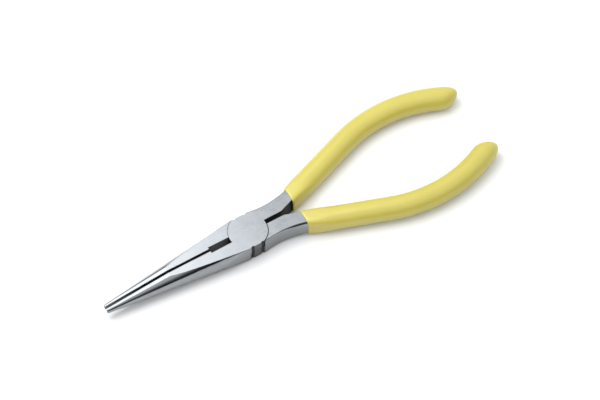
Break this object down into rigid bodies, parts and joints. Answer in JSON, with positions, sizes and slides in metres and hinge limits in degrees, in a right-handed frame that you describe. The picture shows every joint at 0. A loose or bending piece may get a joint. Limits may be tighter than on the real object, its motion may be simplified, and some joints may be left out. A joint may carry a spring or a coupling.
{
  "type": "needle nose pliers",
  "caption": "Hand pliers with long tapering serrated jaws, a flush riveted lap joint and two bowed handles in smooth dipped vinyl grips.",
  "frame": {"origin": "where the pivot axis meets the flat rear face of the head", "axes": "+X from the pivot to the handles, +Z along the pivot towards the front face, +Y towards the handle of the front half"},
  "size_m": [0.1606, 0.0492, 0.009],
  "materials": {
    "steel": "satin ground faces, polished jaw flanks",
    "rivet": "satin, ground flush",
    "grip": "semi-gloss pale yellow vinyl"
  },
  "bodies": {
    "rear_arm": {"rear_half": "steel", "pivot_rivet": "rivet", "rear_grip": "grip"},
    "front_arm": {"front_half": "steel", "front_grip": "grip"}
  },
  "joints": [
    {"name": "jaw_pivot", "type": "hinge", "parent": "rear_arm", "child": "front_arm", "pos_m": [0, 0, 0], "axis": [0, 0, 1], "range_deg": [-0.95, 42]}
  ]
}
